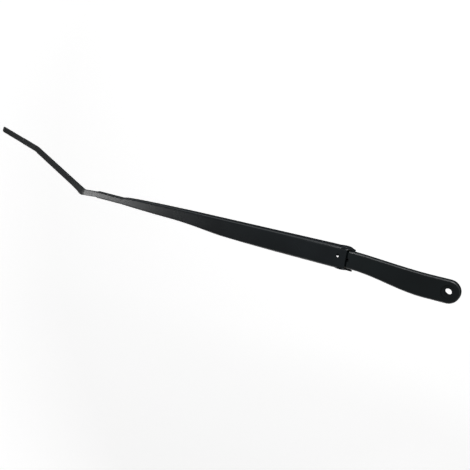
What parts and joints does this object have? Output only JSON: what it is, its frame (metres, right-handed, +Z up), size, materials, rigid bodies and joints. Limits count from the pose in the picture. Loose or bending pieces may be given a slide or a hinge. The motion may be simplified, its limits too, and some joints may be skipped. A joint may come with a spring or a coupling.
{
  "type": "windscreen wiper arm",
  "caption": "Satin black wiper arm: cast head with tapered spindle socket, folding sheet-steel channel with spring and link inside, and a cranked flat bar with a straight tongue for the blade.",
  "frame": {"origin": "on the spindle axis, in the plane of the boss's lower face", "axes": "+Z up along the spindle, away from the vehicle; the arm reaches toward -X; +Y is the side the bar cranks to"},
  "size_m": [0.7072, 0.0822, 0.0274],
  "materials": {
    "cast_black": "satin black paint on a die casting",
    "sheet_black": "satin black powder coat on pressed sheet steel",
    "bar_black": "satin black powder coat on flat steel bar",
    "bush": "natural acetal",
    "steel": "bright zinc plated",
    "spring_steel": "oiled spring wire"
  },
  "bodies": {
    "head": {"arm_head": "cast_black", "hinge_bush_left": "bush", "hinge_bush_right": "bush", "link_pin": "steel"},
    "arm": {"channel": "sheet_black", "arm_rod": "bar_black", "hinge_pin": "sheet_black"},
    "link": {"spring_link": "steel"},
    "spring": {"tension_spring": "spring_steel"}
  },
  "joints": [
    {"name": "arm_lift", "type": "hinge", "parent": "head", "child": "arm", "pos_m": [-0.1255, 0.0082, 0.016], "axis": [0, 1, 0], "range_deg": [0, 65], "deforming": ["tension_spring"]},
    {"name": "link_swing", "type": "hinge", "parent": "head", "child": "link", "pos_m": [-0.121, 0.0082, 0.0085], "axis": [0, 1, 0], "range_deg": [-1, 63]},
    {"name": "spring_swing", "type": "hinge", "parent": "arm", "child": "spring", "pos_m": [-0.2655, 0.0082, 0.0185], "axis": [0, 1, 0], "range_deg": [-4, 1]}
  ],
  "couplings": [
    {"joint": "link_swing", "follows": "arm_lift", "ratio": 0.95},
    {"joint": "spring_swing", "follows": "arm_lift", "ratio": -0.05}
  ]
}
